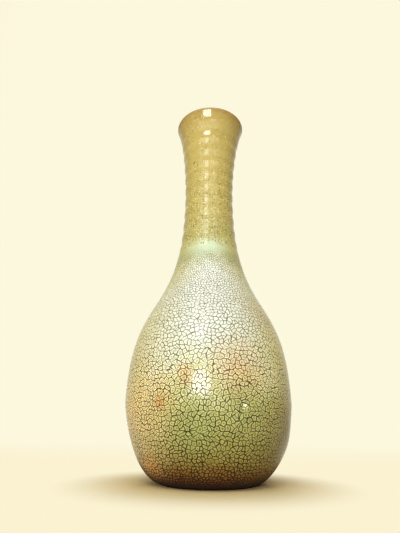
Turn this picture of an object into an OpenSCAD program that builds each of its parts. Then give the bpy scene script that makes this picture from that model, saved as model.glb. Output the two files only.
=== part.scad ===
// A tall stoneware bottle vase with a low round belly, a long slender neck and a flared mouth.
// It is thrown in two body sections and a neck, luted together with slip, set on a turned
// foot ring, and coated inside and out with glaze. Millimetres, +Z up, and the origin is on
// the axis at the level that the foot stands on.
//
// The whole pot is one meridian curve: the outline of the glazed outside, from the foot to the
// lip. Every piece is a band of the wall, between two places along that curve and two depths
// below it, turned about the axis, so that neighbouring pieces meet face to face.

/* [Overall] */
// Height from the foot to the rim
height = 310; // [260:1:400]

/* [Foot] */
// Outer diameter of the foot ring
foot_d = 67.5; // [56:0.5:84]
// Height of the foot ring, up to the flat base that it carries
foot_h = 2; // [1.6:0.1:6]
// Width of the foot ring, from its outer to its inner side
foot_w = 4.5; // [3:0.1:12]
// Chamfer on both edges that stand on the table
foot_chamfer = 0.5; // [0.2:0.1:0.8]

/* [Belly] */
// Diameter of the belly at its widest
belly_d = 122.3; // [100:0.1:160]
// Height of the widest place, where the two body sections join
belly_z = 53; // [40:1:80]
// How far the heel stands out past the foot ring
heel_step = 2.6; // [0.5:0.1:6]
// Rise of the outside where it leaves the foot, from the horizontal
heel_angle = 23.5; // [10:0.5:50]
// How far the heel runs out before it turns up, as a share of the belly's height
heel_reach = 0.38; // [0.25:0.01:0.6]
// How long the side stays upright under the widest place, likewise
heel_hold = 0.08; // [0.06:0.01:0.4]
// How long the side stays upright over the widest place, as a share of the shoulder's height
belly_hold = 0.5; // [0.3:0.01:0.6]

/* [Neck] */
// Diameter of the neck at its narrowest
neck_d = 43.2; // [32:0.2:60]
// How long the neck stays slender below its narrowest place, as a share of the shoulder's height
neck_hold = 0.67; // [0.4:0.01:0.75]
// Length of the neck section, from its seam to the rim
neck_l = 142; // [120:1:160]
// Number of throwing rings left by the potter's fingers
ring_count = 9; // [1:1:9]
// Height of one throwing ring
ring_pitch = 12; // [8:0.5:13]
// Depth of the groove between two throwing rings
ring_depth = 0.5; // [0.1:0.1:1.2]
// Distance from the rim to the topmost ring
ring_drop = 26; // [20:1:40]

/* [Mouth] */
// Outer diameter of the mouth
mouth_d = 63; // [52:0.5:80]
// Distance from the narrowest place of the neck up to the rim
mouth_h = 82; // [55:1:100]
// Slope of the flare just below the lip, from the vertical
flare_angle = 24.5; // [12:0.5:40]
// How long the neck stays upright above its narrowest place, as a share of the mouth's height
mouth_hold = 0.45; // [0.15:0.01:0.55]
// How long the flare keeps its slope below the lip, likewise
flare_hold = 0.13; // [0.1:0.01:0.4]

/* [Walls] */
// Thickness of the wall above the foot, glaze included
wall_foot = 7; // [5:0.1:10]
// Thickness of the wall at the widest place, glaze included
wall_belly = 5.6; // [4:0.1:9]
// Thickness of the wall at the narrowest place of the neck, glaze included
wall_neck = 4.8; // [3.6:0.1:7]
// Thickness of the rounded lip, glaze included
lip_t = 5; // [4:0.1:8]
// Thickness of the floor at its middle, from the flat base up, glaze included
floor_t = 5; // [3:0.1:12]

/* [Glaze and slip] */
// Thickness of every coat of glaze
glaze_t = 0.8; // [0.4:0.1:1.2]
// Thickness of the slip in a luted seam
slip_t = 0.5; // [0.3:0.1:1]
// How far the body's glaze runs up past the neck's seam
glaze_lap = 5; // [2:0.5:15]
// Height of the bead of slip that is left inside a seam
bead_h = 0.9; // [0.2:0.1:2]
// Length of wall over which that bead fades out, above and below its seam
bead_l = 9; // [5:0.5:14]

/* [Hidden] */
$fn = 128;

// Fineness of the outline: steps round the heel, up the rest of the side, over the lip and
// across the floor
heel_steps = 20;
side_step = 2;
lip_steps = 16;
floor_steps = 10;
halvings = 40;
// How far the wall sweeps on into the floor, as a share of the floor's radius
floor_sweep = 0.1;

foot_r = foot_d / 2;
foot_in = foot_r - foot_w;
lip_r = lip_t / 2;
neck_z = height - mouth_h;
neck_seam_z = height - neck_l;
glaze_line_z = neck_seam_z + glaze_lap;
ring_top = height - ring_drop;
ring_foot = ring_top - ring_count * ring_pitch;

// Directions as unit vectors in the plane of the outline, which holds [radius, height]
upward = [0, 1];
heel_way = [cos(heel_angle), sin(heel_angle)];
flare_way = [sin(flare_angle), cos(flare_angle)];
// The side of the wall that faces out, for a curve that runs upward along way
function outward(way) = [way.y, -way.x];

// The four places that the outline runs through. The clay's flat base ends a step outside the
// foot ring, and the glaze lies on the clay.
heel_end = [foot_r + heel_step, foot_h] + glaze_t * outward(heel_way);
widest = [belly_d / 2, belly_z];
narrowest = [neck_d / 2, neck_z];
lip_centre = [mouth_d / 2 - lip_r, height - lip_r];
lip_start = lip_centre + lip_r * outward(flare_way);

heel_rise = widest.y - heel_end.y;
shoulder_rise = narrowest.y - widest.y;
mouth_rise = lip_start.y - narrowest.y;

// Each stretch of the outline is a cubic curve given by its four control points
heel_curve = [
    heel_end, heel_end + heel_reach * heel_rise * heel_way,
    widest - heel_hold * heel_rise * upward, widest
];
shoulder_curve = [
    widest, widest + belly_hold * shoulder_rise * upward,
    narrowest - neck_hold * shoulder_rise * upward, narrowest
];
mouth_curve = [
    narrowest, narrowest + mouth_hold * mouth_rise * upward,
    lip_start - flare_hold * mouth_rise * flare_way, lip_start
];
CURVES = [heel_curve, shoulder_curve, mouth_curve];

function along(c, t) =
    pow(1 - t, 3) * c[0] + 3 * pow(1 - t, 2) * t * c[1] + 3 * (1 - t) * t * t * c[2] + pow(t, 3) * c[3];
function way_along(c, t) =
    pow(1 - t, 2) * (c[1] - c[0]) + 2 * (1 - t) * t * (c[2] - c[1]) + t * t * (c[3] - c[2]);

// A station u runs from 0 at the foot to 3 at the lip. Its whole part picks the curve.
function curve_of(u) = CURVES[min(floor(u), 2)];
function share_of(u) = u - min(floor(u), 2);
function smooth_at(u) = along(curve_of(u), share_of(u));
function normal_at(u) =
    let (way = way_along(curve_of(u), share_of(u)))
    outward(way / norm(way));

// The station at a height, found by halving
function station(z, low = 0, high = 3, n = halvings) =
    let (middle = (low + high) / 2)
    n == 0 ? middle
    : smooth_at(middle).y < z ? station(z, middle, high, n - 1)
    : station(z, low, middle, n - 1);

// Throwing rings: shallow grooves round the neck, which fade out at both ends of their zone
function groove(z) =
    z > ring_foot && z < ring_top ? ring_depth * (1 - cos(360 * (z - ring_foot) / ring_pitch)) / 2 : 0;
// The bead of slip squeezed out inside a seam
function bead(z, seam_z) =
    abs(z - seam_z) < bead_l ? bead_h * (1 + cos(180 * (z - seam_z) / bead_l)) / 2 : 0;
function wall(z) =
    lookup(z, [
        [heel_end.y, wall_foot], [widest.y, wall_belly], [narrowest.y, wall_neck], [lip_start.y, lip_t]
    ]) + bead(z, belly_z) + bead(z, neck_seam_z);

// A point of the outside, and points at a depth below it and at the inside of the wall
function outside(u, depth = 0) =
    let (p = smooth_at(u))
    p - (depth + groove(p.y)) * normal_at(u);
function inside(u, depth = 0) = outside(u, wall(smooth_at(u).y) - depth);
function outsides(stations, depth = 0) = [for (u = stations) outside(u, depth)];
function insides(stations, depth = 0) = [for (u = stations) inside(u, depth)];
function reversed(list) = [for (i = [len(list) - 1:-1:0]) list[i]];

// Stations from one height to another. Pieces that share a stretch share its stations.
function stations_up(z0, z1) =
    let (n = ceil((z1 - z0) / side_step))
    [for (i = [0:n]) station(z0 + (z1 - z0) * i / n)];
function joined(a, b) = concat(a, [for (i = [1:len(b) - 1]) b[i]]);

belly_seam_low = station(belly_z - slip_t / 2);
heel_stations = [for (i = [0:heel_steps]) belly_seam_low * i / heel_steps];
belly_seam = stations_up(belly_z - slip_t / 2, belly_z + slip_t / 2);
shoulder_stations = stations_up(belly_z + slip_t / 2, neck_seam_z - slip_t / 2);
neck_seam = stations_up(neck_seam_z - slip_t / 2, neck_seam_z + slip_t / 2);
lap_stations = stations_up(neck_seam_z + slip_t / 2, glaze_line_z);
dipped_stations = stations_up(glaze_line_z, lip_start.y);

section_stations = joined(heel_stations, joined(belly_seam, joined(shoulder_stations, neck_seam)));
body_stations = joined(section_stations, lap_stations);
neck_stations = joined(lap_stations, dipped_stations);

// The rounded lip, from the outside over the top to the inside
function lip(depth) = [
    for (i = [1:lip_steps - 1])
        let (a = -flare_angle + 180 * i / lip_steps)
        lip_centre + (lip_r - depth) * [cos(a), sin(a)]
];

// The dished floor, from the foot of the inside wall to the axis
function floor_line(depth) =
    let (
        start = inside(0, depth),
        middle = [0, foot_h + floor_t - depth],
        curve = [start, start - floor_sweep * start.x * heel_way, middle + [start.x / 2, 0], middle]
    )
    [for (i = [1:floor_steps]) along(curve, i / floor_steps)];

module turned(points) {
    rotate_extrude() polygon(points);
}

// A stretch of bare clay between the two coats of glaze
module clay_band(stations) {
    turned(concat(outsides(stations, glaze_t), reversed(insides(stations, glaze_t))));
}

module foot_ring() {
    top = foot_h - slip_t;
    color([0.16, 0.1, 0.08])
        turned([
            [foot_in + foot_chamfer, 0], [foot_r - foot_chamfer, 0], [foot_r, foot_chamfer],
            [foot_r, top], [foot_in, top], [foot_in, foot_chamfer]
        ]);
}

module foot_slip() {
    low = foot_h - slip_t;
    color([0.22, 0.14, 0.1])
        turned([[foot_in, low], [foot_r, low], [foot_r, foot_h], [foot_in, foot_h]]);
}

module lower_body() {
    color([0.5, 0.36, 0.26])
        turned(concat(
            [[0, foot_h]], outsides(heel_stations, glaze_t),
            reversed(insides(heel_stations, glaze_t)), floor_line(glaze_t)
        ));
}

module belly_slip() {
    color([0.42, 0.3, 0.22]) clay_band(belly_seam);
}

module upper_body() {
    color([0.5, 0.36, 0.26]) clay_band(shoulder_stations);
}

module neck_slip() {
    color([0.42, 0.3, 0.22]) clay_band(neck_seam);
}

module neck() {
    color([0.5, 0.36, 0.26])
        turned(concat(
            outsides(neck_stations, glaze_t), lip(glaze_t),
            reversed(insides(neck_stations, glaze_t))
        ));
}

// The crackled celadon coat of the body
module body_glaze() {
    color([0.82, 0.81, 0.6])
        turned(concat(outsides(body_stations), reversed(outsides(body_stations, glaze_t))));
}

// The speckled tan coat of the neck, which is dipped mouth down, so that the coat runs over the
// lip and reaches as far down inside as outside
module neck_glaze() {
    color([0.76, 0.68, 0.42])
        turned(concat(
            outsides(dipped_stations), lip(0), reversed(insides(dipped_stations)),
            insides(dipped_stations, glaze_t), reversed(lip(glaze_t)),
            reversed(outsides(dipped_stations, glaze_t))
        ));
}

// The plain coat inside the body, poured in and out before the neck is dipped
module liner_glaze() {
    color([0.7, 0.66, 0.5])
        turned(concat(
            reversed(floor_line(glaze_t)), insides(body_stations, glaze_t),
            reversed(insides(body_stations)), floor_line(0)
        ));
}

// The thin coat on the flat base, inside the foot ring
module base_glaze() {
    color([0.45, 0.38, 0.24])
        translate([0, 0, foot_h - glaze_t]) cylinder(h = glaze_t, r = foot_in);
}

foot_ring();
foot_slip();
lower_body();
belly_slip();
upper_body();
neck_slip();
neck();
body_glaze();
neck_glaze();
liner_glaze();
base_glaze();
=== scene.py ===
# %% [markdown]
# # A crackled bottle vase
#
# This lesson dresses the solids of a stoneware bottle vase: a low round belly under a crackled
# green-yellow glaze, a long neck in speckled tan, and a dark bare foot. The solids already have the
# right sizes, so nothing here is measured again. Every outline is read from them.

# %% Load the solids
from math import cos, exp, pi, radians, sin

import bmesh
import bpy
from mathutils import Matrix, Vector


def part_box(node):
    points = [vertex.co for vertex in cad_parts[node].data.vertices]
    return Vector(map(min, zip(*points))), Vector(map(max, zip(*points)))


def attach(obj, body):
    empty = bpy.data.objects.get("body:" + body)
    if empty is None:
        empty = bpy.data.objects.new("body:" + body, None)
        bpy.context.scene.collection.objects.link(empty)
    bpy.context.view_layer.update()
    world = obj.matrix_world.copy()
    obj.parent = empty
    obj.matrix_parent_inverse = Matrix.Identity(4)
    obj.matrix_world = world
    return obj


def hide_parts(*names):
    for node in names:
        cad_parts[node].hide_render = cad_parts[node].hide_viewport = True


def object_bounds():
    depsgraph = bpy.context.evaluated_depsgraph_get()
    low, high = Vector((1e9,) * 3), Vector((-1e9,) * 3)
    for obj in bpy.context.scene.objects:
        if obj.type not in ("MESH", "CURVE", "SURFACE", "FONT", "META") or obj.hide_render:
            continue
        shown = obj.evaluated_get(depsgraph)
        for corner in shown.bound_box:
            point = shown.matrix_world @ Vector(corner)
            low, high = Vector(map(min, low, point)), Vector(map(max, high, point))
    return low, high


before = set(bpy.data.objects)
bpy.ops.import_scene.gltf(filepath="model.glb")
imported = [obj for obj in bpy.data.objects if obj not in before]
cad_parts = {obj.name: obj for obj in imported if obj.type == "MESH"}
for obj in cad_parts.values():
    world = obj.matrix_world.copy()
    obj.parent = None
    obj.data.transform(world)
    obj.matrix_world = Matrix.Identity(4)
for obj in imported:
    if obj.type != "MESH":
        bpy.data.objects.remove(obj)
cad_low, cad_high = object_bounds()
MM = 0.001
print("loaded", len(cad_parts), "solids, height", round(cad_high.z / MM, 1), "mm")

# %% [markdown]
# ## The camera
#
# The picture is taken from close by and a little above the foot, looking up along the vase, so the
# belly looms and the mouth shrinks. A camera can be turned with a track-to constraint, but then it
# can't lean. Three plain turns are clearer: a heading, a tilt, and a lean about the line of sight.

# %% Place the camera
PICTURE_PX = (400, 533)
FOCAL_PX = 400
SENSOR_MM = 24
CAMERA_PLACE = Vector((0, -316.6, 35.7)) * MM
HEADING = radians(1.36)
TILT = radians(22.06)
LEAN = radians(0.81)

lens = bpy.data.cameras.new("camera")
lens.sensor_fit = "VERTICAL"
lens.sensor_height = SENSOR_MM
lens.lens = FOCAL_PX / PICTURE_PX[1] * SENSOR_MM
lens.clip_start = 10 * MM
camera = bpy.data.objects.new("camera", lens)
bpy.context.scene.collection.objects.link(camera)
facing = Matrix.Rotation(HEADING, 4, "Z") @ Matrix.Rotation(pi / 2 + TILT, 4, "X")
camera.matrix_world = Matrix.Translation(CAMERA_PLACE) @ facing @ Matrix.Rotation(LEAN, 4, "Z")
bpy.context.scene.camera = camera
print("camera lens", round(lens.lens, 2), "mm")

# %% [markdown]
# ## Reading an outline
#
# A turned piece is one outline swept round the axis. To get it back, fold the solid's mesh flat: move
# every point round the axis into one half plane and merge the points that meet. All the triangles
# collapse, and the edges that are left are the outline. Walking along them puts the points in order.

# %% Read an outline
SAME_POINT = 0.02 * MM
SHARP_CORNER = radians(60)


def outline(node, corner):
    """The outline of a turned solid as (radius, height) points, from the one nearest to corner."""
    flat = bmesh.new()
    flat.from_mesh(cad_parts[node].data)
    for point in flat.verts:
        point.co = (point.co.xy.length, 0, point.co.z)
    bmesh.ops.remove_doubles(flat, verts=flat.verts, dist=SAME_POINT)
    ends = [point for point in flat.verts if len(point.link_edges) == 1]
    target = Vector((corner[0], 0, corner[1]))
    here = min(ends or flat.verts, key=lambda point: (point.co - target).length)
    walked = []
    while here:
        walked.append(here)
        near = [edge.other_vert(here) for edge in here.link_edges]
        fresh = [point for point in near if point not in walked]
        here = max(fresh, key=lambda point: point.co.x, default=None)
    points = [(point.co.x, point.co.z) for point in walked]
    flat.free()
    return points


def shown_count(points):
    """How many points come before the outline turns a sharp corner, and so leaves the outside."""
    ways = [Vector(b) - Vector(a) for a, b in zip(points, points[1:])]
    for index, (way, after) in enumerate(zip(ways, ways[1:])):
        if way.angle(after) > SHARP_CORNER:
            return index + 2
    return len(points)


FOOT_CORNER = (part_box("foot_ring")[1].x, 0)
body_line = outline("body_glaze", FOOT_CORNER)
body_shown = shown_count(body_line)
glaze_line = body_line[body_shown - 1]
neck_line = outline("neck_glaze", (cad_high.x, glaze_line[1]))
neck_shown = shown_count(neck_line)
print("body outline", len(body_line), "points, neck outline", len(neck_line), "points")
print("the two glazes meet at", [round(value / MM, 2) for value in glaze_line])

# %% [markdown]
# ## The throwing rings
#
# The solid's throwing rings are level, but fingers that rise while the wheel turns wind them into a
# spiral, so each ring here climbs by its own height in one turn. A displace modifier with a texture
# could do that, but a formula is exact: it fills the level groove and cuts the climbing one.

# %% Wind the rings into a spiral
RING_DEPTH = 0.5 * MM
RING_PITCH = 12 * MM
RING_FOOT = 176 * MM
RING_TOP = 284 * MM


def smooth(value, low, high):
    """0 below low, 1 above high, and a smooth step between them."""
    share = min(max((value - low) / (high - low), 0), 1)
    return share * share * (3 - 2 * share)


def groove(height, ends=True):
    """The depth of the throwing rings' groove at a height; without ends it goes on up and down."""
    if ends and not RING_FOOT < height < RING_TOP:
        return 0
    return RING_DEPTH * (1 - cos(2 * pi * (height - RING_FOOT) / RING_PITCH)) / 2


def spiral(angle, height):
    """What to add to the level rings to wind them into a spiral, which meets them on the left."""
    wound = smooth(height, RING_FOOT - RING_PITCH / 2, RING_FOOT + RING_PITCH / 2)
    wound *= 1 - smooth(height, RING_TOP, RING_TOP + RING_PITCH)
    return groove(height) - wound * groove(height - RING_PITCH * (angle - pi) / (2 * pi), False)


print("rings on the neck:", round((RING_TOP - RING_FOOT) / RING_PITCH))

# %% [markdown]
# ## The potter's hand
#
# A thrown pot is never quite round. The belly of this one is fuller low on the right, the neck bows to
# the left, the mouth leans and tilts to the right, the flare is pushed out a little in front, and the
# whole is a little oval. One formula holds it all: it says how far the wall stands out at an angle and
# a height. Where it goes in, it goes less than the glaze is thick, so that no clay comes through.

# %% Move the wall off true
OVAL = 0.15 * MM
OVAL_TURN = radians(30)
OVAL_FROM = (4 * MM, 20 * MM)
FULL_RIGHT = 1.9 * MM
FULL_HEIGHT = 26 * MM
FULL_SPAN = 15 * MM
FULL_FOCUS = 1.5
MOUTH_LEAN = 0.6 * MM
LEAN_FROM = 250 * MM
NECK_BOW = -0.15 * MM
NECK_MIDDLE = 220 * MM
NECK_REACH = 45 * MM
RIM_TILT = 0.45 * MM
CUP_FOCUS = 2
# height, how far out, span
CUPS = [(290 * MM, 0.6 * MM, 5 * MM), (305 * MM, 0.35 * MM, 5 * MM)]


def swell(height, middle, span):
    """1 at a middle height, falling off smoothly over a span above and below it."""
    return exp(-((height - middle) / span) ** 2)


def off_true(angle, height):
    """How far the wall stands out of the turned form, at an angle from +X and a height."""
    oval = OVAL * cos(2 * (angle - OVAL_TURN)) * smooth(height, *OVAL_FROM)
    full = FULL_RIGHT * max(cos(angle), 0) ** FULL_FOCUS * swell(height, FULL_HEIGHT, FULL_SPAN)
    lean = MOUTH_LEAN * smooth(height, LEAN_FROM, cad_high.z)
    lean += NECK_BOW * swell(height, NECK_MIDDLE, NECK_REACH)
    cup = sum(out * swell(height, middle, span) for middle, out, span in CUPS)
    cup *= max(-sin(angle), 0) ** CUP_FOCUS
    return oval + full + lean * cos(angle) + spiral(angle, height) + cup


def rim_lift(angle, height):
    """How far the rim stands above its level, which tilts up to the right."""
    return RIM_TILT * cos(angle) * smooth(height, LEAN_FROM, cad_high.z)


print("wall off true on the right:", round(off_true(0, FULL_HEIGHT) / MM, 2), "mm")

# %% [markdown]
# ## The unrolled label
#
# The glaze needs a map layout that unrolls the pot like a label. A step up the wall counts as a part of
# a turn, by the radius there, so that a small square on the pot stays a square on the label. The side
# on the clay, which nobody sees, gets a narrow strip along the top. Blender's unwrap tools could lay it
# out too, but they would stretch the crackle or cut it in front.

# %% Unroll the label
SHOWN_ROOM = 0.94
LEAST_RADIUS = 8 * MM
LEAST_TURNS = 0.00005


def turns_along(points):
    """How far up the unrolled label each outline point lies, in turns round the axis."""
    total = [0]
    for a, b in zip(points, points[1:]):
        radius = max((a[0] + b[0]) / 2, LEAST_RADIUS)
        total.append(total[-1] + (Vector(b) - Vector(a)).length / (2 * pi * radius))
    return total


def map_rows(points, shown):
    """The height of each outline point on the map layout, from 0 to 1."""
    walked = turns_along(points + points[:1])
    edge = walked[shown - 1]
    rest = max(walked[-1] - edge, LEAST_TURNS)
    rows = []
    for length in walked:
        if length <= edge:
            rows.append(SHOWN_ROOM * length / edge)
        else:
            rows.append(SHOWN_ROOM + (1 - SHOWN_ROOM) * (length - edge) / rest)
    return rows


print("the body's label is", round(turns_along(body_line)[body_shown - 1], 2), "turns high")

# %% [markdown]
# ## Back on the wheel
#
# A Screw modifier turns an outline in one click, but it leaves a plain, perfectly round piece without a
# layout for the glaze. Turning it in code gives both: each point of the outline becomes a ring that
# follows the hand's wobble, and each corner of a face knows its place on the label.

# %% Turn a piece
SIDES = 240
ON_AXIS = 0.05 * MM
CREASE = radians(35)


def turned(name, points, shown, hand=None, closed=True):
    """A mesh object turned from an outline. hand(index) gives each point's share of the wobble."""
    form = bmesh.new()
    layout = form.loops.layers.uv.new("OFBake")
    rows = map_rows(points, shown)
    rings = []
    for index, (radius, height) in enumerate(points):
        if radius < ON_AXIS:
            rings.append([form.verts.new((0, 0, height))])
            continue
        share = hand(index) if hand else 0
        ring = []
        for side in range(SIDES):
            angle = 2 * pi * side / SIDES + pi / 2
            wide = radius + share * off_true(angle, height)
            level = height + share * rim_lift(angle, height)
            ring.append(form.verts.new((wide * cos(angle), wide * sin(angle), level)))
        rings.append(ring)
    count = len(points)
    for index in range(count if closed else count - 1):
        low, high = rings[index], rings[(index + 1) % count]
        for side in range(SIDES):
            ahead = side + 1
            corners = [(low, side, 0), (low, ahead, 0), (high, ahead, 1), (high, side, 1)]
            if len(low) == 1:
                corners.pop(1)
            if len(high) == 1:
                corners.pop(3)
            face = form.faces.new([ring[step % len(ring)] for ring, step, _ in corners])
            for loop, (_, step, up) in zip(face.loops, corners):
                loop[layout].uv = (step / SIDES, rows[index + up])
    bmesh.ops.recalc_face_normals(form, faces=form.faces)
    mesh = bpy.data.meshes.new(name)
    form.to_mesh(mesh)
    form.free()
    mesh.shade_smooth()
    mesh.set_sharp_from_angle(angle=CREASE)
    piece = bpy.data.objects.new(name, mesh)
    bpy.context.scene.collection.objects.link(piece)
    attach(piece, "root")
    print("turned", name, len(mesh.polygons), "faces")
    return piece


# %% [markdown]
# ## The two coats outside
#
# The body was dipped foot down into the crackled glaze and the neck mouth down into the tan one, so the
# tan coat runs over the lip and down inside. Both are closed shells, as the solids are. Only their
# outsides follow the hand's wobble, which fades out inside the lip. The face on the clay stays where
# the clay is.

# %% Turn the two coats
body_coat = turned("body_coat", body_line, body_shown, lambda index: index < body_shown)
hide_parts("body_glaze")

LIP_FADE = 14 * MM
lip_top = max(range(len(neck_line)), key=lambda index: neck_line[index][1])


def neck_hand(index):
    """All of the wobble outside, less and less of it inside, and none on the clay."""
    if index <= lip_top:
        return 1
    if index >= neck_shown:
        return 0
    return smooth(neck_line[index][1], cad_high.z - LIP_FADE, cad_high.z)


neck_coat = turned("neck_coat", neck_line, neck_shown, neck_hand)
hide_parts("neck_glaze")

# %% [markdown]
# ## The inside and the foot
#
# The lining is one open outline, from the middle of the floor up the wall and back, so it isn't closed
# round: both of its ends lie on the axis. The foot ring is the clay that stays bare. The coat on the
# base is a plain thin disc, so its solid stays as it is and only gets a finish.

# %% Turn the inside and the foot
lining_line = outline("liner_glaze", (0, cad_high.z))
lining = turned("lining", lining_line, shown_count(lining_line), closed=False)
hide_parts("liner_glaze")

foot_line = outline("foot_ring", FOOT_CORNER)
foot = turned("foot", foot_line, len(foot_line))
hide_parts("foot_ring")

# %% [markdown]
# ## Colours as they look
#
# Shaders count light, while a screen's numbers follow the sRGB curve, which spreads the dark tones.
# Blender's colour picker changes one into the other unseen. In code one function does it, so that
# colours can be written as they look, from 0 to 255.

# %% Convert a colour


def seen(red, green, blue):
    """A colour as it looks on a screen, turned into the linear light that shaders use."""
    light = []
    for value in (red, green, blue):
        share = value / 255
        light.append(share / 12.92 if share <= 0.04045 else ((share + 0.055) / 1.055) ** 2.4)
    return (*light, 1)


print("a middle grey is", round(seen(128, 128, 128)[0], 3), "of the light of white")

# %% [markdown]
# ## A glaze is a recipe
#
# Each finish is a node tree. To keep the trees short to read, a small class holds the tree and has a
# method for each kind of node. Places are in millimetres, so that the size of a speck or a crack is
# written as it would be measured. The backdrop is a node tree too, so the class can also take a world.

# %% The recipe class


class Recipe:
    """A node tree, with one method for each kind of node. It is a new material's, or that of a world."""

    def __init__(self, name, world=None):
        self.material = world or bpy.data.materials.new(name)
        self.material.use_nodes = True
        self.tree = self.material.node_tree
        self.shader = self.tree.nodes["Background" if world else "Principled BSDF"]
        coordinates = self.node("ShaderNodeTexCoord").outputs["Generated" if world else "Object"]
        self.place = self.vector("SCALE", coordinates, scale=1 / MM)
        self.x, self.y, self.z = self.split(self.place)

    def node(self, kind, inputs=None, **settings):
        made = self.tree.nodes.new(kind)
        for key, value in settings.items():
            setattr(made, key, value)
        for key, value in (inputs or {}).items():
            self.feed(made.inputs[key], value)
        return made

    def feed(self, socket, value):
        if isinstance(value, bpy.types.NodeSocket):
            self.tree.links.new(value, socket)
        else:
            socket.default_value = value

    def math(self, operation, a, b=0.0, c=0.0):
        return self.node("ShaderNodeMath", {0: a, 1: b, 2: c}, operation=operation).outputs[0]

    def vector(self, operation, a, b=(0, 0, 0), scale=1.0):
        inputs = {0: a, 1: b, 3: scale}
        made = self.node("ShaderNodeVectorMath", inputs, operation=operation)
        return made.outputs["Value" if operation in ("DISTANCE", "LENGTH", "DOT_PRODUCT") else "Vector"]

    def split(self, vector):
        return self.node("ShaderNodeSeparateXYZ", {0: vector}).outputs

    def joined(self, x, y, z):
        return self.node("ShaderNodeCombineXYZ", {0: x, 1: y, 2: z}).outputs[0]

    def step(self, value, low, high):
        """0 at low and 1 at high, with a smooth step between; low may be the larger."""
        inputs = {"Value": value, "From Min": low, "From Max": high}
        return self.node("ShaderNodeMapRange", inputs, interpolation_type="SMOOTHSTEP").outputs[0]

    def noise(self, size, place=None, detail=2.0, rough=0.5, output=0):
        inputs = {"Vector": place or self.place, "Scale": 1 / size}
        inputs.update({"Detail": detail, "Roughness": rough})
        return self.node("ShaderNodeTexNoise", inputs).outputs[output]

    def swing(self, size, detail=2.0):
        """Noise that swings round nought, from -0.5 to 0.5."""
        return self.math("SUBTRACT", self.noise(size, detail=detail), 0.5)

    def cells(self, size, place=None, feature="F1", randomness=1.0):
        flat = "2D" if place else "3D"
        inputs = {"Vector": place or self.place, "Scale": 1 / size, "Randomness": randomness}
        return self.node("ShaderNodeTexVoronoi", inputs, feature=feature, voronoi_dimensions=flat)

    def chance(self, cells):
        """A random number for each cell, from 0 to 1."""
        return self.node("ShaderNodeSeparateColor", {0: cells.outputs["Color"]}).outputs[0]

    def blend(self, share, a, b, kind="MIX"):
        """Two colours mixed. Sockets 6 and 7 are where the node takes colours."""
        inputs = {0: share, 6: a, 7: b}
        return self.node("ShaderNodeMix", inputs, data_type="RGBA", blend_type=kind).outputs[2]

    def bands(self, height, stops):
        """Colours by height: stops are (millimetres, colour), from the lowest up."""
        low, high = stops[0][0], stops[-1][0]
        share = self.math("DIVIDE", self.math("SUBTRACT", height, low), high - low)
        made = self.node("ShaderNodeValToRGB", {0: share})
        marks = made.color_ramp.elements
        while len(marks) < len(stops):
            marks.new(1)
        for mark, (level, shade) in zip(marks, stops):
            mark.position = (level - low) / (high - low)
            mark.color = seen(*shade)
        return made.outputs[0]

    def relief(self, height, depth):
        """A bump: height from 0 to 1, times a depth in millimetres."""
        inputs = {"Height": height, "Distance": depth * MM, "Strength": 1.0}
        return self.node("ShaderNodeBump", inputs).outputs[0]

    def finish(self, colour, roughness, bump=None):
        self.feed(self.shader.inputs["Base Color"], colour)
        self.feed(self.shader.inputs["Roughness"], roughness)
        if bump:
            self.feed(self.shader.inputs["Normal"], bump)
        print("mixed", self.material.name, "with", len(self.tree.nodes), "nodes")
        return self.material


print("a recipe has", len([name for name in vars(Recipe) if name[0] != "_"]), "methods")

# %% [markdown]
# ## Where the two glazes meet
#
# At the foot of the neck the tan has run into the crackled glaze and turned it to olive, with a mint
# glow in front. The line wanders, it lies a little above the edge of the coat, and it is soft: the one
# is sprinkled into the other. Both finishes need it, so it is one function: how far a place is above
# that line, in millimetres.

# %% The meeting line
MEET = glaze_line[1] / MM
MEET_RISE = 5.0
MEET_WANDER = 3.0
WANDER_SIZE = 16
MEET_SPRINKLE = 12.0
SPRINKLE_SIZE = 1.1
MINT = seen(194, 210, 177)
OLIVE = seen(184, 178, 112)


def above_meeting(glaze):
    """How far a place is above the line where the glazes meet."""
    wander = glaze.swing(WANDER_SIZE)
    sprinkle = glaze.swing(SPRINKLE_SIZE, detail=3)
    line = glaze.math("MULTIPLY_ADD", wander, 2 * MEET_WANDER, MEET + MEET_RISE)
    line = glaze.math("MULTIPLY_ADD", sprinkle, 2 * MEET_SPRINKLE, line)
    return glaze.math("SUBTRACT", glaze.z, line)


print("meeting line", round(MEET + MEET_RISE, 1), "mm up, give or take", MEET_WANDER + MEET_SPRINKLE)

# %% [markdown]
# ## Crackle
#
# Crackle is a net of fine cracks round little islands. The distance to the edge of Voronoi cells gives
# both: dark close to an edge, pale away from it. Cells in space would be cut by the wall at odd angles,
# so flat cells are laid on the unrolled label instead. Fewer of them go round the pot higher up, where
# it is slimmer, but not as few as would keep them the same size: they get finer towards the neck. The
# rows lie further apart there, because the wall was drawn up and its cracks with it. The distance to a
# cell's middle rounds the islands' corners off. Where the label's ends meet, at the back, a wandering
# line is one more crack.

# %% Lay out the crackle
ISLANDS_AT_FOOT = 132
ISLANDS_LOST = 32
ROWS_LOST = 50
LABEL_HEIGHT = turns_along(body_line)[body_shown - 1]
ISLAND_DISORDER = 0.9
ISLAND_REACH = 0.95
CORNER_ROUND = 0.2
# size of the noise in millimetres, reach in islands
BENDS = [(3, 0.25), (22, 0.5)]
SEAM_SIZE = 9
SEAM_WANDER = 0.05


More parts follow.
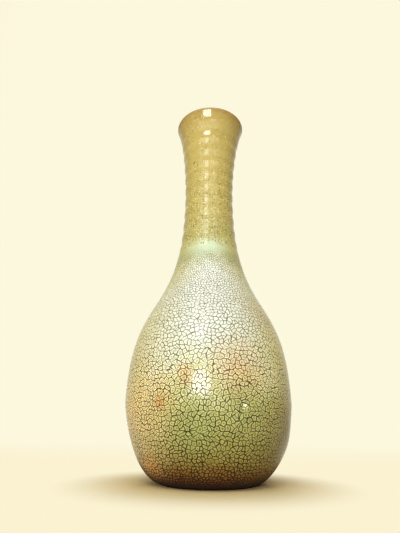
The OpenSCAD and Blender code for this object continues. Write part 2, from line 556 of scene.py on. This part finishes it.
def label_place(glaze):
    """Columns and rows on the label, how many islands go round, and how many away the seam is."""
    across, up, _ = glaze.split(glaze.node("ShaderNodeUVMap", uv_map="OFBake").outputs[0])
    turns = glaze.math("MULTIPLY", up, LABEL_HEIGHT / SHOWN_ROOM)
    around = glaze.math("MULTIPLY_ADD", turns, -ISLANDS_LOST, ISLANDS_AT_FOOT)
    mean = glaze.math("MULTIPLY_ADD", turns, -ROWS_LOST / 2, ISLANDS_AT_FOOT)
    rows = glaze.math("MULTIPLY", turns, mean)
    wander = glaze.noise(SEAM_SIZE, glaze.joined(0, 0, glaze.z))
    across = glaze.math("ADD", across, glaze.math("MULTIPLY", wander, SEAM_WANDER))
    side = glaze.math("SUBTRACT", glaze.math("FRACT", across), 0.5)
    columns = glaze.math("MULTIPLY", side, around)
    back = glaze.math("SUBTRACT", 0.5, glaze.math("ABSOLUTE", side))
    return glaze.joined(columns, rows, 0), around, glaze.math("MULTIPLY", back, around)


def crackle(glaze):
    """The distance to the nearest crack in millimetres, and a random number for each island."""
    spread, around, seam = label_place(glaze)
    for size, reach in BENDS:
        bend = glaze.vector("SUBTRACT", glaze.noise(size, output="Color"), (0.5, 0.5, 0.5))
        spread = glaze.vector("ADD", spread, glaze.vector("SCALE", bend, scale=2 * reach))
    edges = glaze.cells(1, spread, "DISTANCE_TO_EDGE", ISLAND_DISORDER)
    near = glaze.math("MINIMUM", edges.outputs["Distance"], seam)
    islands = glaze.cells(1, spread, "F1", ISLAND_DISORDER)
    corner = glaze.math("SUBTRACT", ISLAND_REACH, islands.outputs["Distance"])
    near = glaze.math("MAXIMUM", glaze.math("SMOOTH_MIN", near, corner, CORNER_ROUND), 0.0)
    radius = glaze.vector("LENGTH", glaze.joined(glaze.x, glaze.y, 0))
    island = glaze.math("DIVIDE", glaze.math("MULTIPLY", radius, 2 * pi), around)
    return glaze.math("MULTIPLY", near, island), glaze.chance(islands)


print("islands round the rim of the coat:", round(ISLANDS_AT_FOOT - ISLANDS_LOST * LABEL_HEIGHT))

# %% [markdown]
# ## Patches of colour
#
# The glaze isn't one colour. It is ochre on the left, partly the glaze's own and partly painted warm
# light, and duller on the right, partly painted shade. It is greener in a streak in front and yellower
# on the flanks of the shoulder and at the back, which leaves the pale front, partly a painted sheen.
# Here and there the iron in the clay has come through as a red-brown blush, most of all along the heel.
# Each patch is a ball of colour centred on the wall, given by its angle from the front and its height,
# with an edge that noise breaks. Patches painted on an image would not follow the form so well.

# %% Place the patches
# degrees from the front, height, half width, strength
BLUSHES = [
    (19, 72, 30, 0.5),
    (-31, 53, 20, 0.3),
    (-30, 51, 8, 0.75),
    (-13, 67, 12, 0.6),
    (-23, 4, 18, 0.8),
    (-48, 9, 18, 0.85),
    (9, 9, 15, 0.4),
    (38, 12, 16, 0.12),
    (54, 112, 26, 0.3),
    (140, 70, 30, 0.6),
    (-135, 92, 26, 0.5),
    (-160, 12, 24, 0.7),
]
# The large ochre patch on the left is partly painted warm light.
OCHRES_AND_LEFT_LIGHT = [(-62, 48, 58, 0.95), (-52, 10, 22, 0.9), (150, 45, 50, 0.6)]
# The yellow patches cover the flanks and the back, so the pale shoulder is left only in front, where it
# is partly a painted sheen.
GOLDS = [
    (-84, 100, 68, 1.0),
    (-82, 148, 48, 1.0),
    (74, 88, 64, 1.0),
    (84, 116, 64, 1.0),
    (84, 150, 48, 1.0),
    (180, 110, 110, 1.0),
]
# The dull patch on the right is partly painted shade; the one at the back is the glaze's own.
DULLS_AND_RIGHT_SHADE = [(72, 36, 50, 0.75), (-150, 40, 45, 0.4)]
GREENS = [(-7, 36, 26, 0.6), (18, 50, 24, 0.4), (100, 40, 30, 0.5), (-100, 38, 26, 0.4)]
MINTS = [(-3, 171, 28, 1.0), (128, 168, 26, 0.9), (-126, 170, 26, 0.9)]
BREAK_SIZE = 8
BROKEN = 1.6
EVEN = 0.4


def wall_at(height):
    """The radius of the glazed outside at a height, in millimetres."""
    return min(body_line[:body_shown], key=lambda point: abs(point[1] - height * MM))[0] / MM


def on_wall(degrees, height):
    """A place on the glazed outside, in millimetres."""
    angle = radians(degrees)
    return (wall_at(height) * sin(angle), -wall_at(height) * cos(angle), height)


def patches(glaze, places, uneven=BROKEN):
    """A soft mask of the patches, from 0 to 1. uneven is how much noise breaks it."""
    total = 0.0
    for degrees, height, half, strength in places:
        far = glaze.vector("DISTANCE", glaze.place, on_wall(degrees, height))
        patch = glaze.math("MULTIPLY", glaze.step(far, half, 0), strength)
        total = glaze.math("MAXIMUM", total, patch)
    broken = glaze.math("MULTIPLY_ADD", glaze.noise(BREAK_SIZE, detail=3), uneven, 1 - uneven / 2)
    return glaze.math("MINIMUM", glaze.math("MULTIPLY", total, broken), 1.0)


counts = [len(places) for places in (BLUSHES, OCHRES_AND_LEFT_LIGHT, GOLDS, DULLS_AND_RIGHT_SHADE, GREENS, MINTS)]
print("patches, red, ochre, gold, dull, green and mint:", counts)

# %% [markdown]
# ## The colour of the crackled glaze
#
# The colour runs from near white under the neck to olive on the lower belly and dark brown at the heel.
# The cool near white of the shoulder is partly the glaze's own and partly a painted sheen, and the
# darkest brown and near black at the heel are partly painted shade. A slow drift keeps the bands from
# lying level. The stain in the cracks has bands of its own, darker lower down and near black at the
# heel, where it too is partly painted shade. The patches lie over both: most blend in a glaze of their
# own, and the blushes tint what is there and turn the cracks to rust.

# %% Mix the colour and the stain
# Partly painted light: the cool near white of the shoulder is partly a painted sheen, and the near black
# and dark brown at the heel are partly painted shade.
BODY_BANDS_WITH_SHADE_AND_SHEEN = [
    (2, (22, 8, 3)),
    (5, (86, 46, 13)),
    (10, (119, 92, 36)),
    (18, (138, 127, 57)),
    (30, (147, 143, 70)),
    (48, (176, 176, 103)),
    (66, (211, 210, 154)),
    (80, (216, 217, 181)),
    (95, (218, 219, 198)),
    (125, (221, 222, 206)),
    (150, (234, 238, 224)),
    (166, (230, 234, 210)),
]
# The near-black stain at the heel is partly painted shade.
CRACK_BANDS_WITH_SHADE = [
    (3, (14, 5, 2)),
    (12, (34, 18, 1)),
    (24, (38, 33, 0)),
    (60, (50, 47, 1)),
    (85, (98, 95, 48)),
    (110, (106, 103, 57)),
    (165, (112, 108, 70)),
]
LEVEL_DRIFT = 30
DRIFT_SIZE = 30
DRIFT_FROM = (4, 40)
ABOVE_HEEL = (4, 26)
OCHRE_AND_LEFT_LIGHT_FROM = (2, 16)
OCHRE_AND_LEFT_LIGHT_GLAZE = seen(224, 200, 130)
OCHRE_AND_LEFT_LIGHT_CRACK = seen(100, 78, 28)
# places, colour, how much noise breaks them
TONES = [
    (GOLDS, seen(220, 207, 123), EVEN),
    # Dull, and partly painted shade on the right.
    (DULLS_AND_RIGHT_SHADE, seen(126, 103, 36), BROKEN),
    (GREENS, seen(150, 160, 86), BROKEN),
]
BLUSH_TINT = (0.93, 0.64, 0.42, 1)
BLUSH_CRACK = seen(92, 38, 8)
RUST_GAIN = 1.7


def ground(glaze):
    """The colour of the glaze and the colour of the stain in its cracks."""
    drift = glaze.math("MULTIPLY", glaze.swing(DRIFT_SIZE), glaze.step(glaze.z, *DRIFT_FROM))
    level = glaze.math("MULTIPLY_ADD", drift, LEVEL_DRIFT, glaze.z)
    # Colour by height, with a painted sheen on the shoulder and painted shade at the heel.
    colour = glaze.bands(level, BODY_BANDS_WITH_SHADE_AND_SHEEN)
    stain = glaze.bands(level, CRACK_BANDS_WITH_SHADE)
    # Ochre, partly painted warm light on the left.
    warm = glaze.math("MULTIPLY", patches(glaze, OCHRES_AND_LEFT_LIGHT), glaze.step(glaze.z, *OCHRE_AND_LEFT_LIGHT_FROM))
    colour = glaze.blend(warm, colour, OCHRE_AND_LEFT_LIGHT_GLAZE)
    stain = glaze.blend(warm, stain, OCHRE_AND_LEFT_LIGHT_CRACK)
    above_heel = glaze.step(glaze.z, *ABOVE_HEEL)
    for places, tone, uneven in TONES:
        share = glaze.math("MULTIPLY", patches(glaze, places, uneven), above_heel)
        colour = glaze.blend(share, colour, tone)
    red = patches(glaze, BLUSHES)
    colour = glaze.blend(red, colour, glaze.blend(1.0, colour, BLUSH_TINT, "MULTIPLY"))
    rust = glaze.math("MINIMUM", glaze.math("MULTIPLY", red, RUST_GAIN), 1.0)
    stain = glaze.blend(rust, stain, glaze.blend(above_heel, stain, BLUSH_CRACK))
    return colour, stain


print("bands:", len(BODY_BANDS_WITH_SHADE_AND_SHEEN), "of glaze,", len(CRACK_BANDS_WITH_SHADE), "of stain")

# %% [markdown]
# ## The islands
#
# Each island has a slight tint of its own, a deeper middle, and a pale, cool border along its crack,
# which is partly the glaze's own and partly a painted sheen of light on the island's rounded edge. The
# pale glaze of the shoulder has no such middle, and its borders stay closer to its own colour. Tints
# multiply the colour, so the patches show through them.

# %% Tint the islands
CORE = (0.7, 1.2)
CORE_BELOW = (112, 66)
CORE_TINT = (0.62, 0.64, 0.46, 1)
# The pale, cool border tints are partly a painted sheen on the islands' rounded edges.
BORDER_AND_SHEEN_TINT = (1.05, 1.06, 1.17, 1)
LOW_BORDER_AND_SHEEN_TINT = (1.42, 1.42, 1.9, 1)
LOW_BELOW = (110, 50)
ISLAND_TINT = 0.14


def tinted(glaze, colour, gap, chance):
    """The colour with the islands' middles, their pale borders with a painted sheen, and their own
    tints.
    """
    core = glaze.math("MULTIPLY", glaze.step(gap, *CORE), glaze.step(glaze.z, *CORE_BELOW))
    border = glaze.blend(glaze.step(glaze.z, *LOW_BELOW), BORDER_AND_SHEEN_TINT, LOW_BORDER_AND_SHEEN_TINT)
    colour = glaze.blend(1.0, colour, glaze.blend(core, border, CORE_TINT), "MULTIPLY")
    shade = glaze.math("SUBTRACT", chance, 0.5)
    return glaze.vector("SCALE", colour, scale=glaze.math("MULTIPLY_ADD", shade, ISLAND_TINT, 1.0))


print("an island's middle starts", CORE[0], "to", CORE[1], "mm from its crack")

# %% [markdown]
# ## The cracks
#
# A crack is a band of even width along the net. The cracks are wider at the heel and finer towards the
# neck, and how deep the stain has soaked in varies from place to place. They fade out a little below
# the edge of the coat, where the tan has run over them.

# %% Draw the cracks
CRACK_EDGE = (0.51, 0.16)
HEEL_WIDER = 0.28
WIDER_BELOW = (30, 4)
NECK_FINER = 0.55
FINER_ABOVE = (60, 160)
SOAK_SIZE = 6
SOAK_RANGE = (0.25, 0.6)
SOAK_LEAST = 0.75
CRACKS_END = (MEET, MEET - 12)


def cracks(glaze, gap, fading):
    """How strongly the stain shows at a place, from 0 to 1."""
    finer = glaze.math("MULTIPLY_ADD", glaze.step(glaze.z, *WIDER_BELOW), -HEEL_WIDER, 1.0)
    finer = glaze.math("MULTIPLY_ADD", glaze.step(glaze.z, *FINER_ABOVE), NECK_FINER, finer)
    crack = glaze.step(glaze.math("MULTIPLY", gap, finer), *CRACK_EDGE)
    soaked = glaze.step(glaze.noise(SOAK_SIZE), *SOAK_RANGE)
    soaked = glaze.math("MULTIPLY_ADD", soaked, 1 - SOAK_LEAST, SOAK_LEAST)
    return glaze.math("MULTIPLY", glaze.math("MULTIPLY", crack, soaked), fading)


print("cracks", 2 * CRACK_EDGE[1], "to", 2 * CRACK_EDGE[0], "mm wide")

# %% [markdown]
# ## A dent
#
# On the right a small dent in the glaze catches the lamp with its far side. It is only a few millimetres
# across, so it is part of the bump: a slope inside a soft round edge.

# %% Press the dent
# degrees from the front, height
DENT = (22, 48)
DENT_HALF = 1.7
DENT_EDGE = (2.5, 2.0)
DENT_DRAWN = (1, 1, 0.8)
DENT_DEPTH = 1.95
DENT_RISE = -0.3


def dent(glaze):
    """A small scoop: 1 at its left edge, 0 at its right, and 0 all round it."""
    angle = radians(DENT[0])
    away = glaze.vector("SUBTRACT", glaze.place, on_wall(*DENT))
    across = glaze.vector("DOT_PRODUCT", away, (cos(angle), sin(angle), DENT_RISE))
    inputs = {"Value": across, "From Min": DENT_HALF, "From Max": -DENT_HALF}
    slope = glaze.node("ShaderNodeMapRange", inputs).outputs[0]
    far = glaze.vector("LENGTH", glaze.vector("MULTIPLY", away, DENT_DRAWN))
    return glaze.math("MULTIPLY", slope, glaze.step(far, *DENT_EDGE))


print("dent at", [round(value, 1) for value in on_wall(*DENT)], "mm")

# %% [markdown]
# ## The crackled glaze
#
# Now the layers come together. The islands are flat on top, so the lamp's reflection stays whole and is
# only crossed by the cracks. The stain in a crack is dry, and so is the thin glaze at the heel, so both
# are rough and mirror little.

# %% Mix the crackled glaze
OLIVE_FROM = (-32, -7)
OLIVE_EDGE = (MEET - 7, MEET)
GLAZE_IOR = 1.36
GLAZE_ROUGHNESS = 0.07
CRACK_DRY = 0.3
HEEL_DRY = 0.8
DRY_BELOW = (24, 4)
SUNK = (0.1, 0.6)
SUNK_DEPTH = 0.025
SKIN_SIZE = 1.2
SKIN_SHARE = 0.12


def crackled_glaze():
    glaze = Recipe("crackle_glaze")
    gap, chance = crackle(glaze)
    colour, stain = ground(glaze)
    colour = tinted(glaze, colour, gap, chance)
    above = glaze.step(above_meeting(glaze), *OLIVE_FROM)
    meeting = glaze.math("MAXIMUM", above, glaze.step(glaze.z, *OLIVE_EDGE))
    colour = glaze.blend(meeting, colour, glaze.blend(patches(glaze, MINTS), OLIVE, MINT))
    fading = glaze.step(glaze.z, *CRACKS_END)
    crack = cracks(glaze, gap, fading)
    colour = glaze.blend(crack, colour, stain)
    roughness = glaze.math("MULTIPLY_ADD", crack, CRACK_DRY, GLAZE_ROUGHNESS)
    heel = glaze.math("MULTIPLY", glaze.step(glaze.z, *DRY_BELOW), HEEL_DRY)
    roughness = glaze.math("MAXIMUM", roughness, heel)
    flat = glaze.math("MULTIPLY", glaze.step(gap, *SUNK), fading)
    height = glaze.math("MULTIPLY_ADD", glaze.noise(SKIN_SIZE), SKIN_SHARE, flat)
    height = glaze.math("MULTIPLY_ADD", dent(glaze), -DENT_DEPTH / SUNK_DEPTH, height)
    glaze.shader.inputs["IOR"].default_value = GLAZE_IOR
    return glaze.finish(colour, roughness, glaze.relief(height, SUNK_DEPTH))


body_coat.data.materials.append(crackled_glaze())

# %% [markdown]
# ## Specks
#
# The tan is even but for its specks: many fine brown ones, more of them towards the foot of the neck,
# a few larger ones, and some pale ones. A speck is the middle of a Voronoi cell, and a random number
# for each cell decides if it is there at all.

# %% Sprinkle the specks
SPECKS = [
    # cell size, speck radius, share of the cells, colour
    (1.3, 0.6, 0.55, (128, 100, 46)),
    (2.2, 0.8, 0.4, (104, 76, 32)),
    (7.5, 1.1, 0.4, (54, 36, 16)),
    (1.8, 0.7, 0.45, (240, 228, 168)),
]
SPECK_CORE = 0.4


def specks(glaze, size, radius, share, thicker):
    """A mask of specks. thicker raises the share of the cells that hold one."""
    dots = glaze.cells(size)
    far = glaze.math("MULTIPLY", dots.outputs["Distance"], size)
    there = glaze.math("LESS_THAN", glaze.chance(dots), glaze.math("MULTIPLY", thicker, share))
    return glaze.math("MULTIPLY", glaze.step(far, radius, radius * SPECK_CORE), there)


print("kinds of speck:", len(SPECKS))

# %% [markdown]
# ## The speckled tan glaze
#
# The tan has bands by height too. It runs thin on the lip and shows the clay, and no specks are left
# there. Faint streaks down the neck and a soft mottle keep it from looking painted. The specks are a
# little sunk, which the bump shows where the light grazes them.

# %% Mix the tan glaze
NECK_BANDS = [
    (172, (170, 166, 105)),
    (188, (176, 167, 103)),
    (210, (183, 170, 101)),
    (250, (185, 169, 99)),
    (290, (185, 167, 100)),
    (304, (179, 158, 94)),
    (309, (158, 124, 70)),
    (310, (128, 92, 50)),
]
STREAK_SIZE = 4
STREAK_DRAWN = (1, 1, 0.08)
STREAK_SHARE = 0.16
MOTTLE_SIZE = 9
MOTTLE_SHARE = 0.24
LEAST_TONE = 0.8
MORE_SPECKS_BELOW = (295, 190)
SPECKS_HIGH = 0.35
SPECKS_LOW = 0.9
SPECKS_END = (309.5, 304)
SPECK_STRENGTH = 0.75
MEET_BLUR = (3, -3)
TAN_EDGE = (MEET + 3, MEET)
TAN_ROUGHNESS = 0.09
TAN_SKIN_SIZE = 1.4
TAN_SKIN_DEPTH = 0.03
PIT = -0.1


def tan_ground(glaze):
    """The tan without its specks, with the olive and the mint at its foot."""
    drawn = glaze.vector("MULTIPLY", glaze.place, STREAK_DRAWN)
    streak = glaze.math("MULTIPLY", glaze.noise(STREAK_SIZE, drawn, detail=3), STREAK_SHARE)
    mottle = glaze.math("MULTIPLY", glaze.noise(MOTTLE_SIZE, detail=5, rough=0.7), MOTTLE_SHARE)
    tone = glaze.math("ADD", glaze.math("ADD", streak, mottle), LEAST_TONE)
    colour = glaze.vector("SCALE", glaze.bands(glaze.z, NECK_BANDS), scale=tone)
    below = glaze.step(above_meeting(glaze), *MEET_BLUR)
    meeting = glaze.math("MAXIMUM", below, glaze.step(glaze.z, *TAN_EDGE))
    return glaze.blend(meeting, colour, glaze.blend(patches(glaze, MINTS), OLIVE, MINT))


def tan_glaze():
    glaze = Recipe("tan_glaze")
    colour = tan_ground(glaze)
    low = glaze.step(glaze.z, *MORE_SPECKS_BELOW)
    thicker = glaze.math("MULTIPLY_ADD", low, SPECKS_LOW, SPECKS_HIGH)
    thicker = glaze.math("MULTIPLY", thicker, glaze.step(glaze.z, *SPECKS_END))
    pits = 0.0
    for size, radius, share, shade in SPECKS:
        mask = specks(glaze, size, radius, share, thicker)
        colour = glaze.blend(glaze.math("MULTIPLY", mask, SPECK_STRENGTH), colour, seen(*shade))
        pits = glaze.math("MAXIMUM", pits, mask)
    height = glaze.math("MULTIPLY_ADD", pits, PIT, glaze.noise(TAN_SKIN_SIZE, detail=3))
    glaze.shader.inputs["IOR"].default_value = GLAZE_IOR
    return glaze.finish(colour, TAN_ROUGHNESS, glaze.relief(height, TAN_SKIN_DEPTH))


neck_coat.data.materials.append(tan_glaze())

# %% [markdown]
# ## The lining
#
# The lining is a poured coat, pale and smooth, and darker towards the floor. It is the only plain
# glaze on the pot, so a mottle and a faintly uneven skin are all that it needs.

# %% Mix the lining
LINING_BANDS = [(6, (150, 140, 88)), (30, (190, 182, 130)), (172, (206, 198, 146))]
LINING_MOTTLE = 8
LINING_SHARE = 0.3
LINING_ROUGHNESS = 0.18
LINING_SKIN_SIZE = 3
LINING_SKIN_DEPTH = 0.08


def lining_glaze():
    glaze = Recipe("inside_glaze")
    mottle = glaze.noise(LINING_MOTTLE, detail=3)
    tone = glaze.math("MULTIPLY_ADD", mottle, LINING_SHARE, 1 - LINING_SHARE / 2)
    colour = glaze.vector("SCALE", glaze.bands(glaze.z, LINING_BANDS), scale=tone)
    skin = glaze.relief(glaze.noise(LINING_SKIN_SIZE), LINING_SKIN_DEPTH)
    return glaze.finish(colour, LINING_ROUGHNESS, skin)


lining.data.materials.append(lining_glaze())

# %% [markdown]
# ## The clays
#
# The clay is coarse: dark and bare on the foot, where its near black is partly painted shade, and brown
# where it lies under the glaze. The thin coat on the base is close to the clay in colour and only
# smoother. One function mixes them all, since they differ only in colour and in roughness: a fine
# grain, and pale bits of grog in it.

# %% Mix the clays
GRAIN_SIZE = 0.8
GRAIN_DEPTH = 0.12
GROG = (2.2, 0.5, 0.3)
GROG_STRENGTH = 0.5
CLAY_ROUGHNESS = 0.85
BASE_ROUGHNESS = 0.45
CLAY_SPECULAR = 0.2


def clay(name, dark, pale, roughness=CLAY_ROUGHNESS):
    body = Recipe(name)
    grain = body.noise(GRAIN_SIZE, detail=4, rough=0.7)
    grog = body.math("MULTIPLY", specks(body, *GROG, 1.0), GROG_STRENGTH)
    colour = body.blend(grain, seen(*dark), seen(*pale))
    colour = body.blend(grog, colour, seen(*pale))
    body.shader.inputs["Specular IOR Level"].default_value = CLAY_SPECULAR
    return body.finish(colour, roughness, body.relief(grain, GRAIN_DEPTH))


# The foot's near black is partly the dark bare clay and partly painted shade.
foot_clay = clay("foot_clay", (22, 8, 4), (48, 20, 10))
foot.data.materials.append(foot_clay)
base_finish = clay("base_glaze", (84, 64, 38), (128, 104, 64), BASE_ROUGHNESS)
stoneware = clay("stoneware", (118, 88, 64), (158, 124, 94))
luting_slip = clay("luting_slip", (104, 78, 58), (138, 108, 82))
NODE_FINISH = {
    "foot_slip": foot_clay,
    "base_glaze": base_finish,
    "lower_body": stoneware,
    "upper_body": stoneware,
    "neck": stoneware,
    "belly_slip": luting_slip,
    "neck_slip": luting_slip,
}
for node, finish in NODE_FINISH.items():
    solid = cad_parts[node]
    solid.data.materials.clear()
    solid.data.materials.append(finish)
print("finished", len(NODE_FINISH), "solids under the coats")

# %% [markdown]
# ## The backdrop
#
# The backdrop is like a sheet of paper behind the vase: pale as far as the picture reaches, and a warm
# sand round the sides and in front, because a glaze that mirrors white from all sides looks washed out.
# It shows to the camera and in reflections at full strength, and otherwise gives only a little fill
# light, so that the lamps alone light the vase.

# %% Hang the backdrop
PALE = seen(252, 248, 222)
SAND = seen(232, 206, 150)
PAPER_TO = radians(30)
SAND_FROM = radians(75)
FILL = 0.015


def looked_at(studio):
    """1 for rays from the camera, reflections and glass, 0 for light that bounces."""
    path = studio.node("ShaderNodeLightPath").outputs
    mirrored = studio.math("MAXIMUM", path["Is Glossy Ray"], path["Is Transmission Ray"])
    return studio.math("MAXIMUM", path["Is Camera Ray"], mirrored)


def backdrop_tone(studio):
    """Pale behind the vase, and sand round the sides and in front."""
    level = studio.vector("NORMALIZE", studio.vector("MULTIPLY", studio.place, (1, 1, 0)))
    behind = studio.step(studio.split(level)[1], cos(SAND_FROM), cos(PAPER_TO))
    return studio.blend(behind, SAND, PALE)


world = bpy.data.worlds.new("studio")
bpy.context.scene.world = world
sky = Recipe("studio", world)
sky.feed(sky.shader.inputs["Color"], backdrop_tone(sky))
strength = sky.math("MULTIPLY_ADD", looked_at(sky), 1 - FILL, FILL)
sky.feed(sky.shader.inputs["Strength"], strength)
print("backdrop with", len(sky.tree.nodes), "nodes, fill light", FILL)

# %% [markdown]
# ## The floor
#
# A pale floor that fades into an equally pale distance has no horizon. Near the vase it is a plain matt
# surface, which keeps the shadow. Further off it takes the backdrop's tone, again only for the camera
# and for reflections, so that a bright floor doesn't light the vase from below.

# %% Lay the floor
FLOOR_REACH = 4.0
FLOOR_SIDES = 96
FLOOR_DARK = seen(228, 200, 140)
FLOOR_LIGHT = seen(234, 206, 146)
FLOOR_MOTTLE = 300
FLOOR_ROUGHNESS = 0.9
NEAR_PALE = seen(251, 242, 210)
NEAR_TO_FAR = (150, 900)
FADE_MM = (42, 110)


def floor_finish():
    surface = Recipe("floor")
    colour = surface.blend(surface.noise(FLOOR_MOTTLE), FLOOR_DARK, FLOOR_LIGHT)
    matt = surface.finish(colour, FLOOR_ROUGHNESS)
    away = surface.vector("LENGTH", surface.place)
    far = surface.step(away, *NEAR_TO_FAR)
    tone = surface.blend(far, NEAR_PALE, backdrop_tone(surface))
    glow = surface.node("ShaderNodeEmission", {"Color": tone, "Strength": 1.0})
    fade = surface.step(away, *FADE_MM)
    share = surface.math("MULTIPLY", fade, looked_at(surface))
    shaders = {0: share, 1: surface.shader.outputs[0], 2: glow.outputs[0]}
    mixed = surface.node("ShaderNodeMixShader", shaders)
    output = surface.tree.nodes["Material Output"]
    surface.feed(output.inputs["Surface"], mixed.outputs[0])
    return matt


disc = bmesh.new()
bmesh.ops.create_circle(disc, cap_ends=True, segments=FLOOR_SIDES, radius=FLOOR_REACH)
floor_mesh = bpy.data.meshes.new("floor")
disc.to_mesh(floor_mesh)
disc.free()
floor = bpy.data.objects.new("floor", floor_mesh)
bpy.context.scene.collection.objects.link(floor)
floor_mesh.materials.append(floor_finish())
print("floor", FLOOR_REACH, "m")

# %% [markdown]
# ## The lamps
#
# A wide lamp close to the line of sight gives most of the light and the bright spots on the belly, the
# flare and the lip. A broad soft panel above and in front leaves a cool sheen on the shoulder, and a
# strip up high a soft streak on the neck. A warm one lights the left, so that the right falls off, and
# one at the back lights the side that this picture doesn't show. These last two are kept out of
# reflections, as a photographer does with a filter, because the glaze would show their edges.

# %% Hang the lamps
AIM = Vector((0, 0, 110)) * MM
ROUND = ("front_lamp",)
NOT_MIRRORED = ("left_panel", "back_panel")
LAMPS = [
    # name, place in metres, width, depth, watts, colour
    ("front_lamp", (-0.30, -2.00, 0.42), 0.94, 0.36, 25, (1.0, 0.97, 0.92)),
    ("sky_panel", (-0.10, -0.95, 1.15), 1.7, 1.2, 14, (0.82, 0.92, 1.0)),
    ("left_panel", (-1.60, -0.80, 0.50), 0.9, 0.9, 0.7, (1.0, 0.94, 0.84)),
    ("neck_strip", (-0.34, -1.60, 1.45), 0.5, 0.7, 8, (0.94, 1.0, 0.92)),
    ("back_panel", (0.10, 1.90, 0.80), 0.6, 0.9, 13, (1.0, 0.96, 0.9)),
]
for name, place, width, depth, watts, tone in LAMPS:
    lamp = bpy.data.lights.new(name, "AREA")
    lamp.shape = "ELLIPSE" if name in ROUND else "RECTANGLE"
    lamp.size = width
    lamp.size_y = depth
    lamp.energy = watts
    lamp.color = tone
    stand = bpy.data.objects.new(name, lamp)
    bpy.context.scene.collection.objects.link(stand)
    stand.location = place
    stand.rotation_euler = (AIM - Vector(place)).to_track_quat("-Z", "Y").to_euler()
    stand.visible_camera = False
    stand.visible_glossy = name not in NOT_MIRRORED
    print("lamp", name, watts, "W")

# %% [markdown]
# ## The view transform
#
# The picture uses Blender's Standard view transform.

# %% Set the view transform
bpy.context.scene.view_settings.view_transform = "Standard"
